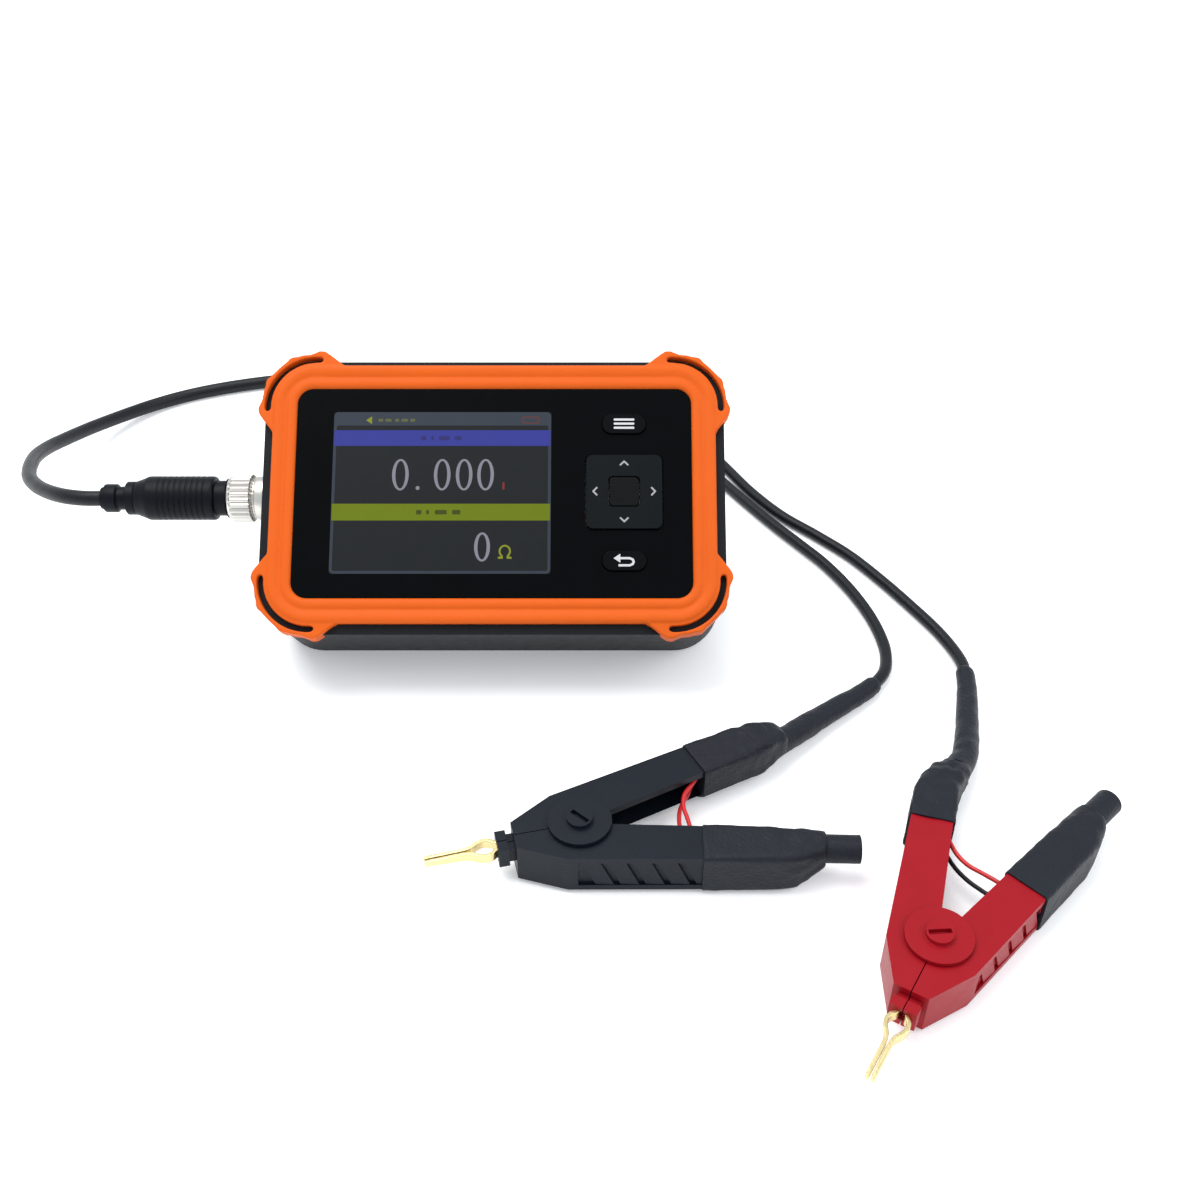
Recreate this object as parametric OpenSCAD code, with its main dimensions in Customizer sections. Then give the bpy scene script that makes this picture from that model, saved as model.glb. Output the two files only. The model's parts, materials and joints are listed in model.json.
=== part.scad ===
// Handheld four-wire resistance and LCR meter. A soft frame with bumper corners holds a dark case
// with a colour display and keys, the case leans back on a fold-out stand, and a test lead
// screws into its left side and ends in a black and a red Kelvin clip.
// Millimetres, +Z up, +X to the reader's right, +Y away from the reader. The origin is the middle
// of the flat along the rear bottom edge of the case, on the table.

/* [Case] */
// Width of the case
case_w = 103; // [100:0.5:106]
// Height of the case
case_h = 62.5; // [61:0.5:65]
// Depth from the crest of the soft frame to the back
case_d = 28; // [27:0.5:30]
// Radius of the corners of the case
case_r = 11; // [9:0.5:12]
// Thickness of the case walls
wall = 2; // [1.6:0.1:2.2]
// Angle that the meter leans back from upright
lean = 50; // [46:1:54]
// Height cut off the rear bottom edge for the flat that the case stands on
stand_flat = 2.2; // [1.6:0.1:2.6]

/* [Front] */
// Width of the soft frame between its corners
ring_w = 99; // [97:0.5:100]
// Height of the soft frame between its corners
ring_h = 59; // [57.5:0.5:60]
// Radius of the corners of the soft frame
ring_r = 9.6; // [8:0.2:10]
// Width of the front panel
panel_w = 88; // [86:0.5:90]
// Height of the front panel
panel_h = 47.7; // [46.5:0.1:48.5]
// Width of the display that shows through the panel
screen_w = 48.6; // [46:0.2:50]
// Height of the display that shows through the panel
screen_h = 37; // [35:0.2:38]
// Side of the square direction pad
pad_s = 16.8; // [15:0.2:17]

/* [Stand] */
// Width of the fold-out stand
leg_w = 46; // [36:1:50]
// Thickness of the fold-out stand
leg_t = 2.4; // [2:0.1:2.6]
// Angle that the stand opens from the back of the case
leg_open = 60; // [56:1:64]

/* [Lead] */
// Diameter of the main cable
cable_d = 3.6; // [3:0.1:4]
// Diameter of the two clip leads
lead_d = 2.8; // [2.4:0.1:3]
// Outer diameter of the knurled coupling nut
nut_d = 11.2; // [10:0.1:11.4]

/* [Clips] */
// Length of each clip arm from its pivot, under its sleeve
arm_l = 36.5; // [35:0.5:38]
// Width of each clip arm
arm_w = 8; // [7.6:0.1:8.4]
// Height of the clip body
clip_h = 9; // [8:0.2:9.4]
// Diameter of the pivot disc
disc_d = 12.6; // [11.6:0.2:13]
// Angle that each arm leaves the axis of its clip
arm_angle = 15; // [14:0.5:16]

/* [Hidden] */
$fn = 48;
slack = 0.1; // clearance between parts that touch
bite = 1; // overshoot of cutting shapes
face_z = case_h / 2 + 0.5; // height of the middle of the front face
front_y = -case_d; // crest of the soft frame
panel_y = front_y + 0.8; // outer face of the front panel
shell_y = front_y + 2.2; // front face of the front shell
panel_t = shell_y - panel_y;
web_t = 1.5; // thickness of the front shell behind the panel
split_y = -17; // joint between the two shells
board_y = -21; // front face of the circuit board
board_t = 1.6;
screen_x = -11.5; // middle of the display
key_x = 29; // middle of the key column
key_rise = 15.6; // distance of the menu and back keys above and below the direction pad
key_size = [9.6, 4.4];
ok_size = 6.6;
gimbal_y = -24.6; // tilt axes of the direction pad
trunnion_r = 0.6;
screw_at = [44.6, 24.4]; // offsets of the case screws from the middle of the case
screw_r = 1.25;
socket_y = -12; // axis of the lead socket
socket_z = 34.4;
leg_y = -1.4; // hinge axis of the stand
leg_z = 40;
leg_pin_r = 1;
pocket_d = 2.8; // depth of the pocket that the stand folds into
leg_tilt = leg_open - lean; // lean of the open stand from upright
leg_pivot_h = leg_z * cos(lean) - leg_y * sin(lean) - stand_flat;
leg_l = leg_pivot_h / cos(leg_tilt);
table_y = socket_y * cos(lean) + socket_z * sin(lean); // socket axis above the table
table_z = socket_z * cos(lean) - socket_y * sin(lean) - stand_flat;
nut_x = [-62.1, -53.2];
plug_end = -92;
body_low = 1; // underside of a clip body above the table
seam = 0.1; // half the gap between the two halves of a clip
nose_l = 13.2;
tip_l = 16.6;
clip_wall = 1.5;
knuckle_r = 4.2;
pin_r = 1.6;
jaw_t = 0.8;
jaw_tip = 30.8;
jaw_z = [5.8, 7.9];
black_clip_at = [19.7, -64.1, 13.4];
red_clip_at = [84.7, -91.5, 58.6];
rib_pitch = 4.9;
stub_r = 2.8; // hollow stub at the end of the other arm
stub_w = 2.7;
stub_z = 7.1;

// Routes of the cords, each point on the middle of the cord, lying on the table where it can
main_route = [[-91, 18.6, 29.1], [-96, 18.7, 29], [-101.5, 20.7, 28.2], [-107, 25, 26.4],
    [-112.3, 30.8, 24.2], [-117, 38.2, 21.8], [-120.2, 47, 19.1], [-122.3, 56, 16.1],
    [-122.7, 65, 12.9], [-121.2, 74.2, 9.8], [-118.2, 84.4, 6.7], [-113.6, 94.6, 3.9],
    [-107.4, 103, 2.3], [-99.6, 109, 1.8], [-91, 113, 1.8], [-80.9, 116.4, 1.8],
    [-70, 118.9, 1.8], [-57, 120.3, 1.8], [-46, 120.5, 1.8], [-35, 120, 1.8], [-24, 119, 1.8],
    [-13, 117.4, 2.2], [-6, 116, 2.8]];
red_route = [[8, 114, 2.8], [14, 112.4, 1.8], [22, 109.4, 1.4], [31, 104.6, 1.4], [39.5, 98.4, 1.4],
    [47, 91, 1.4], [53.2, 82, 1.4], [58.6, 71.6, 1.4], [64.2, 60.6, 1.4], [71.2, 50, 1.4],
    [79.4, 41.2, 1.4], [86.8, 32.6, 1.4], [93.2, 22.6, 1.4], [98.8, 12.6, 1.4],
    [103.2, 4, 1.4], [105.8, -3, 1.5], [106.8, -9, 2], [106.3, -15, 2.4], [105.2, -20, 2.7]];
black_route = [[8, 110.4, 2.8], [14, 108, 1.8], [21, 104.6, 1.4], [29, 99.6, 1.4], [37, 93.2, 1.4],
    [44, 86, 1.4], [50.4, 77, 1.4], [56.2, 66.6, 1.4], [62.6, 55.8, 1.4], [69, 45.6, 1.4],
    [74.6, 37.4, 1.4], [80, 29.2, 1.4], [84.8, 19.4, 1.4], [88.2, 9.4, 1.4], [89.8, 0.6, 1.4],
    [89.8, -6, 1.5], [88.2, -12, 2], [84.4, -17, 2.4], [79.6, -21.2, 2.8]];
red_sleeve_route = [[97.4, -46.3, 5.8], [100.2, -41.5, 5], [101.9, -36, 4], [103.4, -30, 3.3],
    [104.9, -23, 2.8], [106.1, -16.8, 2.5], [106.8, -11.4, 2.4]];
black_sleeve_route = [[60.2, -38, 5.2], [64.2, -34.6, 4.4], [68.4, -30.7, 3.7], [72.6, -26.9, 3.1],
    [77, -23.3, 2.8], [81.6, -19.6, 2.5], [85.8, -15.8, 2.4]];
// Routes of the link wires across a clip, from its lead arm to its other arm
link_routes = [[[27.2, 9.6, 7.4], [25.4, 7.4, 7.6], [22.8, 4.8, 7.5], [21.2, 1.8, 7.4], [20.6, -1.4, 7.5],
        [20, -4.6, 7.6], [19.4, -8, 7.4]],
    [[25.6, 9.2, 4.8], [24, 6.8, 4.6], [21.8, 4, 4.4], [20.2, 1, 4.4], [19.2, -2, 4.5],
        [18.4, -4.8, 4.7], [17.6, -7.4, 4.8]]];
// Middle line of a jaw, from its root in the nose to its tip
jaw_line = [[-12.6, 0.8], [-15, 0.8], [-16.7, 0.95], [-17.7, 1.65], [-19, 1.95], [-20.4, 1.5],
    [-21.8, 0.75], [-23.6, 0.52], [-27, 0.52], [-jaw_tip, 0.52]];

// ---- Frames and helpers ----

// Leans the upright meter back, so that its flat lies on the table
module stood() translate([0, 0, -stand_flat]) rotate([-lean, 0, 0]) children();

// Puts a clip, with its pivot at the origin and its arms towards +X, on the table
module clip_at(place) translate([place[0], place[1], 0]) rotate([0, 0, place[2]]) children();

// The half of a clip that moves mirrors the half that is fixed
module mirrored() mirror([0, 1, 0]) children();

// Rectangle with round corners, in the plane of the front face
module round_rect(w, h, r) {
    square([w - 2 * r, h], center = true);
    square([w, h - 2 * r], center = true);
    for (x = [-1, 1], z = [-1, 1]) translate([x * (w / 2 - r), z * (h / 2 - r)]) circle(r);
}

// Solid from y0 back to y1 of an outline in the plane of the front face
module plate(y0, y1, x = 0, z = face_z) {
    translate([x, y1, z]) rotate([90, 0, 0]) linear_extrude(y1 - y0) children();
}

module slab(w, h, r, y0, y1, x = 0, z = face_z) plate(y0, y1, x, z) round_rect(w, h, r);

// Round bar along Y from y0 to y1
module bar_y(r, y0, y1, x, z) translate([x, y1, z]) rotate([90, 0, 0]) cylinder(r = r, h = y1 - y0);

// Round bar along X from x0 to x1
module bar_x(r, x0, x1, y, z, r2 = 0) {
    translate([x0, y, z]) rotate([0, 90, 0]) cylinder(r1 = r, r2 = r2 > 0 ? r2 : r, h = x1 - x0);
}

module at_screws() for (x = [-1, 1], z = [-1, 1])
    translate([x * screw_at[0], 0, case_h / 2 + z * screw_at[1]]) children();

// The four places where a ring corner has its centre, with the corner turned to point outwards
module at_ring_corners() {
    for (x = [0, 1], z = [0, 1]) mirror([x, 0]) mirror([0, z])
        translate([ring_w / 2 - ring_r, ring_h / 2 - ring_r]) children();
}

// Point at parameter t between p1 and p2 of a Catmull-Rom curve
function blend_points(p0, p1, p2, p3, t) = 0.5 * (2 * p1 + (p2 - p0) * t
    + (2 * p0 - 5 * p1 + 4 * p2 - p3) * t * t + (3 * p1 - p0 - 3 * p2 + p3) * t * t * t);
function pick(p, i) = p[max(0, min(len(p) - 1, i))];
function smooth(p, steps) = [for (i = [0 : len(p) - 2], s = [0 : steps - 1])
        blend_points(pick(p, i - 1), p[i], p[i + 1], pick(p, i + 2), s / steps), p[len(p) - 1]];
function unit(v) = v / norm(v);
function heading(p, i) = unit(pick(p, i + 1) - pick(p, i - 1));

// Tube of round section along a route, from diameter d0 to d1
module tube(route, d0, d1, sides = 8, steps = 1) {
    p = smooth(route, steps);
    last = len(p) - 1;
    rings = [for (i = [0 : last])
        let (t = heading(p, i), across = unit(cross(t, [0, 0, 1])), rise = cross(across, t),
             r = (d0 + (d1 - d0) * i / last) / 2)
        for (k = [0 : sides - 1]) p[i] + r * (cos(360 * k / sides) * across + sin(360 * k / sides) * rise)];
    walls = [for (i = [0 : last - 1], k = [0 : sides - 1])
        let (a = i * sides + k, b = i * sides + (k + 1) % sides)
        each [[a, b, b + sides], [a, b + sides, a + sides]]];
    caps = [[for (k = [sides - 1 : -1 : 0]) k], [for (k = [0 : sides - 1]) last * sides + k]];
    polyhedron(rings, concat(walls, caps), convexity = 6);
}

// Flat strip of thickness t that follows a line
module ribbon(line, t) {
    p = smooth(line, 4);
    side = [for (i = [0 : len(p) - 1]) let (h = heading(p, i)) [-h[1], h[0]] * t / 2];
    polygon(concat([for (i = [0 : len(p) - 1]) p[i] + side[i]],
                   [for (i = [len(p) - 1 : -1 : 0]) p[i] - side[i]]));
}

// ---- Soft frame and case ----

module bumper_outline() {
    polygon([[-6, ring_r - 0.6], [-2, 12.4], [-0.6, 12.8], [1.8, 11.9], [5.6, 11.1], [6.8, 10.4],
        [10.4, 6.8], [11.1, 5.6], [11.9, 1.8], [12.8, -0.6], [12.4, -2], [ring_r - 0.6, -6], [6, 6]]);
    for (p = [[-0.9, 11.9, 1.1], [5.9, 10.4, 1], [10.4, 5.9, 1], [11.9, -0.9, 1.1]])
        translate([p[0], p[1]]) circle(p[2]);
}

module bumper_slot() intersection() {
    difference() {
        circle(11.5);
        circle(10.3);
    }
    rotate(5) square(14);
    rotate(-1) square(14);
}

module bumper_frame() color("orangered") stood() difference() {
    union() {
        slab(ring_w, ring_h, ring_r, front_y, shell_y);
        plate(front_y + 0.5, front_y + 5.4) at_ring_corners() bumper_outline();
    }
    slab(panel_w, panel_h, 3.5, front_y - bite, shell_y + bite);
    difference() {
        slab(ring_w - 5.4, ring_h - 5.4, ring_r - 2.7, front_y - bite, front_y + 0.4);
        slab(ring_w - 6.2, ring_h - 6.2, ring_r - 3.1, front_y - bite, front_y + 0.4);
    }
    slab(case_w, case_h, case_r, shell_y, split_y, z = case_h / 2);
    plate(front_y - bite, front_y + 6) at_ring_corners() bumper_slot();
}

module front_shell() color("dimgray") stood() {
    difference() {
        slab(case_w, case_h, case_r, shell_y, split_y, z = case_h / 2);
        slab(case_w - 2 * wall, case_h - 2 * wall, case_r - wall, shell_y + web_t, split_y + bite,
             z = case_h / 2);
        slab(61.2, 43.6, 1, shell_y - bite, shell_y + 2 * web_t, x = screen_x);
        slab(pad_s + 1.4, pad_s + 1.4, 1.6, shell_y - bite, shell_y + 2 * web_t, x = key_x);
        for (side = [-1, 1]) slab(key_size[0] + 3, key_size[1] + 2.4, 3, shell_y - bite,
            shell_y + 2 * web_t, x = key_x, z = face_z + side * key_rise);
        translate([case_w / 2 - wall - bite, -24.5, face_z - 4.8]) cube([wall + 2 * bite, 3.7, 9.6]);
    }
    // Lugs that carry the gimbal of the direction pad
    for (side = [-1, 1]) difference() {
        translate([key_x - 1.4, gimbal_y - 0.9, face_z + (side > 0 ? 3.9 : -9.2)]) cube([2.8, 1.9, 5.3]);
        translate([key_x, gimbal_y, face_z + (side > 0 ? 3.9 : -4.9) - bite])
            cylinder(r = trunnion_r + 0.06, h = 1 + 2 * bite);
    }
    at_screws() difference() {
        bar_y(3.2, shell_y + 1, split_y, 0, 0);
        bar_y(screw_r, -23, split_y + bite, 0, 0);
    }
}

module rear_shell() color("darkslategray") stood() difference() {
    union() {
        difference() {
            hull() {
                slab(case_w, case_h, case_r, split_y, -2.4, z = case_h / 2);
                slab(case_w - 4.8, case_h - 4.8, case_r - 2.4, split_y, 0, z = case_h / 2);
            }
            slab(case_w - 2 * wall, case_h - 2 * wall, case_r - wall, split_y - bite, -wall,
                 z = case_h / 2);
        }
        // Block that the pocket of the stand is sunk into
        translate([-leg_w / 2 - 4, -pocket_d - 1.4, leg_z - leg_l - 6])
            cube([leg_w + 8, pocket_d + 0.4, leg_l + 12]);
        at_screws() bar_y(3.2, split_y, -1, 0, 0);
        // Rib that keeps the wall above the flat of the rear edge
        translate([-case_w / 2 + case_r, -5.4, 1]) cube([case_w - 2 * case_r, 4.4, 4]);
    }
    // Flat that the case stands on
    rotate([lean, 0, 0]) translate([-case_w, -case_w, stand_flat - case_w])
        cube([2 * case_w, 2 * case_w, case_w]);
    // Pocket and finger scoop of the stand
    translate([-leg_w / 2 - 0.5, -pocket_d, leg_z - leg_l - 1.2])
        cube([leg_w + 1, pocket_d + bite, leg_l + 3.6]);
    translate([-8, -pocket_d, leg_z - leg_l - 3.6]) cube([16, pocket_d + bite, 4]);
    bar_x(leg_pin_r + 0.05, -leg_w / 2 - 2.2, leg_w / 2 + 2.2, leg_y, leg_z);
    at_screws() {
        bar_y(1.5, split_y - bite, 0, 0, 0);
        bar_y(2.7, -3.2, bite, 0, 0);
    }
    bar_x(4.05, -case_w / 2 - bite, -case_w / 2 + wall + bite, socket_y, socket_z);
}

module front_panel() color("black") stood() difference() {
    slab(panel_w, panel_h, 3.5, panel_y, shell_y);
    slab(screen_w, screen_h, 0.6, panel_y - bite, shell_y + bite, x = screen_x);
    slab(pad_s + 0.6, pad_s + 0.6, 1.8, panel_y - bite, shell_y + bite, x = key_x);
    for (side = [-1, 1]) slab(key_size[0] + 0.4, key_size[1] + 0.4, 2.3, panel_y - bite, shell_y + bite,
        x = key_x, z = face_z + side * key_rise);
}

module display_window() color("lightslategray", 0.5) stood()
    slab(screen_w, screen_h, 0.6, panel_y, shell_y, x = screen_x);

// ---- Inside the case ----

module display_glass() color("midnightblue") stood()
    slab(60, 42.4, 0.4, shell_y, shell_y + 1.2, x = screen_x);

module backlight_frame() color("white") stood()
    slab(60.4, 42.8, 0.6, shell_y + 1.2, shell_y + 3.2, x = screen_x);

module display_flex() color("peru") stood() translate([screen_x + 25.4, 0, face_z - 9]) linear_extrude(18)
    polygon([[0, shell_y + 3.2], [6.6, shell_y + 3.2], [6.6, board_y], [3, board_y],
        [3, board_y - 0.25], [6.3, board_y - 0.25], [6.3, shell_y + 3.45], [0, shell_y + 3.45]]);

module main_board() color("darkgreen") stood() difference() {
    slab(94, 53, 2, board_y, board_y + board_t, z = case_h / 2);
    at_screws() bar_y(3.6, board_y - bite, board_y + board_t + bite, 0, 0);
}

module board_chips() color("dimgray") stood()
    for (c = [[-22, 40, 9, 9], [2, 42, 7, 7], [18, 20, 5, 6], [-20, 18, 6, 4]])
    translate([c[0] - c[2] / 2, board_y + board_t, c[1] - c[3] / 2]) cube([c[2], 1.2, c[3]]);

// Places of the switches under the keys, each with the height that its plunger reaches
switch_places = [[0, key_rise, 3.6], [0, -key_rise, 3.6], [0, 0, 3.6], [5.6, 0, 2.6], [-5.6, 0, 2.6],
    [3.6, 5.8, 3.6], [3.6, -5.8, 3.6]];

module tact_switches() color("silver") stood() for (s = switch_places) {
    slab(4.2, 4.2, 0.4, board_y - s[2] + 0.8, board_y, x = key_x + s[0], z = face_z + s[1]);
    bar_y(0.9, board_y - s[2], board_y - s[2] + 0.9, key_x + s[0], face_z + s[1]);
}

module battery() color("steelblue") stood() slab(50, 34, 2, -10.4, -4.8, x = 4, z = 30);

module buzzer() color("black") stood() difference() {
    bar_y(6, board_y + board_t, board_y + board_t + 4.2, 34, 16);
    bar_y(1, board_y + board_t + 2, board_y + board_t + 5, 34, 16);
}

module usb_port() color("silver") stood()
    translate([case_w / 2 - 7.4, board_y - 3.2, face_z]) rotate([0, 90, 0])
    difference() {
        linear_extrude(7.2) translate([0, 1.6]) round_rect(8.9, 3.2, 1.5);
        translate([0, 0, 1.4]) linear_extrude(7) translate([0, 1.6]) difference() {
            round_rect(8.3, 2.6, 1.2);
            square([6.6, 0.7], center = true);
        }
    }

module case_screws() color("gray") stood() at_screws() difference() {
    union() {
        bar_y(screw_r, -21.5, -3, 0, 0);
        bar_y(2.5, -3.2, -1.4, 0, 0);
    }
    translate([-1.6, -2.2, -0.3]) cube([3.2, 2, 0.6]);
    translate([-0.3, -2.2, -1.6]) cube([0.6, 2, 3.2]);
}

// ---- Keys ----

module long_key(side) stood() {
    z = face_z + side * key_rise;
    slab(key_size[0], key_size[1], 2.1, panel_y - 0.6, shell_y + 0.2, x = key_x, z = z);
    slab(key_size[0] + 1.6, key_size[1] + 1.2, 2.6, shell_y + 0.1, shell_y + 0.7, x = key_x, z = z);
    bar_y(1.1, shell_y + 0.6, board_y - 3.95, key_x, z);
}

module menu_key() color("black") long_key(1);

module back_key() color("black") long_key(-1);

module pad_gimbal() color("gainsboro") stood() difference() {
    union() {
        slab(14, 6, 0.8, gimbal_y - 0.4, gimbal_y + 0.4, x = key_x);
        bar_x(trunnion_r, key_x - 7.6, key_x + 7.6, gimbal_y, face_z);
        translate([key_x, gimbal_y, face_z - 4.7]) cylinder(r = trunnion_r, h = 9.4);
    }
    bar_y(1.9, gimbal_y - bite, gimbal_y + bite, key_x, face_z);
}

module direction_pad() color("darkslategray") stood() {
    difference() {
        slab(pad_s, pad_s, 1.5, panel_y - 0.7, shell_y - 0.3, x = key_x);
        slab(ok_size + 0.4, ok_size + 0.4, 1, panel_y - bite, shell_y, x = key_x);
    }
    // Ears on the gimbal, and the feet over the up and down switches
    for (side = [-1, 1]) {
        difference() {
            translate([key_x + side * 7.6 - 0.5, shell_y - 0.4, face_z - 1.3]) cube([1, 2.6, 2.6]);
            bar_x(trunnion_r + 0.06, key_x - 9, key_x + 9, gimbal_y, face_z);
        }
        bar_y(0.8, shell_y - 0.4, shell_y + 0.65, key_x + 3.6, face_z + side * 5.8);
    }
}

module ok_key() color("darkslategray") stood() {
    slab(ok_size, ok_size, 0.9, panel_y - 0.6, shell_y - 0.6, x = key_x);
    bar_y(1.4, shell_y - 0.7, board_y - 3.95, key_x, face_z);
}

// ---- Stand ----

module stand_leg() color("dimgray") stood() translate([0, leg_y, leg_z]) rotate([leg_open, 0, 0]) {
    half = leg_t / 2;
    rotate([90, 0, 90]) translate([0, 0, -leg_w / 2]) linear_extrude(leg_w)
        polygon([[-half, 0], [half, 0], [half, -leg_l - half * tan(leg_tilt)],
            [-half, -leg_l + half * tan(leg_tilt)]]);
    bar_x(half + 0.1, -leg_w / 2, leg_w / 2, 0, 0);
    bar_x(leg_pin_r, -leg_w / 2 - 2, leg_w / 2 + 2, 0, 0);
    // Heel that meets the pocket when the stand is open
    rotate([90 - leg_open, 0, 0]) translate([-leg_w / 2, 0, 0]) cube([leg_w, 0.9, 1.36]);
}

// ---- Socket and plug, on one axis along X ----

module socket_bar(r, x0, x1, r2 = 0) bar_x(r, x0, x1, table_y, table_z, r2);

module four_around() for (a = [0 : 90 : 270])
    translate([0, table_y + 1.9 * cos(a + 45), table_z + 1.9 * sin(a + 45)]) children();

module lead_socket() color("silver") difference() {
    union() {
        socket_bar(5.6, -case_w / 2 - 1.5, -case_w / 2);
        socket_bar(4, -57, -39);
    }
    four_around() bar_x(0.56, -58, -51, 0, 0);
}

module socket_nut() color("silver") difference() {
    translate([-case_w / 2 + wall, table_y, table_z]) rotate([0, 90, 0]) cylinder(r = 6.2, h = 2.2, $fn = 6);
    socket_bar(4, -case_w / 2, -40);
}

module socket_contacts() color("gold") four_around() bar_x(0.4, -39, -36, 0, 0);

module plug_nut() color("silver") difference() {
    union() {
        socket_bar(nut_d / 2 - 0.5, nut_x[0], nut_x[1]);
        for (a = [0 : 15 : 345]) translate([nut_x[0] + 0.4, table_y, table_z]) rotate([a, 0, 0])
            translate([0, -0.4, 3]) cube([5.2, 0.8, nut_d / 2 - 3]);
    }
    socket_bar(4.06, nut_x[0] - bite, nut_x[1] + bite);
}

module plug_body() color("black") {
    socket_bar(4, -62.2, -57.1);
    socket_bar(4.6, -62.3, -62.2);
    socket_bar(4.1, -65.4, -62.3);
    socket_bar(5.1, -81, -65.2);
    socket_bar(3.9, -83.8, -81, 5.1);
}

module plug_pins() color("gold") four_around() bar_x(0.5, -57.1, -52, 0, 0);

module strain_relief() color("black") {
    socket_bar(3.9, -85.9, -83.8);
    socket_bar(2.7, -91.8, -85.8);
    socket_bar(3.3, -91, -88.2);
    socket_bar(2.6, plug_end, -91, 3.3);
}

// ---- Cords ----

module main_cable() color("black") tube(main_route, cable_d, cable_d);

module lead_splitter() color("black") hull() {
    translate([-9, 116.6, 2.8]) rotate([0, 90, -12]) cylinder(r = 2.7, h = 2, $fn = 32);
    for (y = [114, 110.8]) translate([6, y, 2.8]) rotate([0, 90, -15]) cylinder(r = 2.6, h = 3, $fn = 32);
}

module black_lead() color("black") tube(black_route, lead_d, lead_d);

module red_lead() color("black") tube(red_route, lead_d, lead_d);

// ---- Kelvin clip, pivot at the origin, arms towards +X, with the lead arm on the +Y side ----

function arm_point(s, w) = [s * cos(arm_angle) - w * sin(arm_angle), s * sin(arm_angle) + w * cos(arm_angle)];

module arm_outline(l) polygon([[-nose_l, seam], [-nose_l, 3.3], arm_point(-2, arm_w + 1.2),
    arm_point(l, arm_w), arm_point(l, seam), arm_point(0, seam)]);

// Takes off the inner lower edge along an arm, from rise above its underside
module beveled(rise) difference() {
    children();
    rotate([0, 0, arm_angle]) translate([8, seam, body_low + rise]) rotate([-44, 0, 0])
        translate([0, -10, -10]) cube([50, 20, 10]);
}

// Half of a clip body: two plates, a ribbed outer wall, and a knuckle at height knuckle_z
module clip_half(knuckle_z) beveled(2.2) difference() {
    union() {
        difference() {
            translate([0, 0, body_low]) linear_extrude(clip_h) arm_outline(arm_l);
            translate([0, 0, body_low + clip_wall]) linear_extrude(clip_h - 2 * clip_wall)
                polygon([[-9, seam - bite], [-9, 3.4], arm_point(-2.4, arm_w - 0.7),
                    arm_point(arm_l + bite, arm_w - 1.7), arm_point(arm_l + bite, -bite), [0, -bite]]);
            // Recess between the lips of the outer wall
            translate([0, 0, body_low + 1.3]) linear_extrude(clip_h - 2.6)
                polygon([arm_point(0, arm_w + 0.5), arm_point(0, arm_w + 2), arm_point(27, arm_w + 2),
                    arm_point(27, arm_w - 0.45)]);
        }
        // Slanted ribs of the finger grip
        for (s = [0.6 : rib_pitch : 22]) rotate([0, 0, arm_angle]) translate([s, arm_w - 1, body_low + 1.2])
            rotate([90, 0, 180]) mirror([1, 0, 0]) linear_extrude(1.84 - s * 0.031)
                polygon([[2.8, 0], [6.4, 0], [3.6, clip_h - 2.4], [0, clip_h - 2.4]]);
        // Knuckle around the pivot screw
        translate([0, 0, knuckle_z]) linear_extrude(1.8) {
            circle(knuckle_r);
            intersection() {
                arm_outline(8);
                translate([-7, 0]) square([12, 12]);
            }
        }
        // Nose block with a groove behind its tip
        translate([-tip_l, seam, 4.3]) cube([2.1, 2.5, 4.6]);
        translate([-tip_l + 1, seam, 4.9]) cube([5, 2, 3.3]);
    }
    translate([0, 0, body_low - bite]) cylinder(r = pin_r + 0.06, h = clip_h + 2 * bite);
    translate([-tip_l - bite, seam - bite, jaw_z[0] - slack])
        cube([6, 2.2, jaw_z[1] - jaw_z[0] + 2 * slack]);
}

module clip_jaw() difference() {
    translate([0, 0, jaw_z[0]]) linear_extrude(jaw_z[1] - jaw_z[0]) ribbon(jaw_line, jaw_t);
    for (z = [[jaw_z[0], 2.2, -1], [jaw_z[1], -2.2, 0]])
        translate([10 - jaw_tip, -bite, z[0]]) rotate([0, z[1], 0]) translate([-12, 0, z[2]]) cube([12, 4, 1]);
}

module pivot_screw() {
    translate([0, 0, 0.6]) cylinder(r = pin_r, h = clip_h + 1);
    difference() {
        union() {
            translate([0, 0, body_low + clip_h + slack]) cylinder(d = disc_d, h = 0.9);
            translate([0, 0, body_low + clip_h + slack]) cylinder(d = 5.2, h = 1.9);
        }
        rotate([0, 0, 35]) translate([-0.5, -2.1, body_low + clip_h + 1]) cube([1, 4.2, 2]);
    }
}

module pivot_cap() difference() {
    cylinder(d = disc_d, h = body_low - slack);
    translate([0, 0, 0.6]) cylinder(r = pin_r, h = 2);
}

module spring_coil() {
    for (z = [5.1, 5.9]) translate([0, 0, z]) rotate_extrude() translate([3.1, 0]) circle(0.36, $fn = 24);
    for (side = [-1, 1]) translate([0, side * 3.1, side > 0 ? 5.9 : 5.1])
        rotate([0, 90, side * (arm_angle + 6)]) cylinder(r = 0.34, h = 14, $fn = 24);
}

// Heat-shrink sleeve around an arm from s0 on, closed at its far end, and tapered up from below
// from cut[0] on at an angle of cut[1]
module arm_shrink(s0, outline, cut) difference() {
    beveled(1.5) translate([0, 0, body_low - 0.5]) linear_extrude(clip_h + 1)
        polygon([for (p = concat([[s0, arm_w + 0.5]], outline, [[s0, -0.4]])) arm_point(p[0], p[1])]);
    beveled(2.2) translate([0, 0, body_low]) linear_extrude(clip_h) arm_outline(arm_l);
    rotate([0, 0, arm_angle]) translate([cut[0], -4, body_low - 0.5]) rotate([0, -cut[1], 0])
        translate([0, 0, -6]) cube([16, 16, 6]);
}

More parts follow.
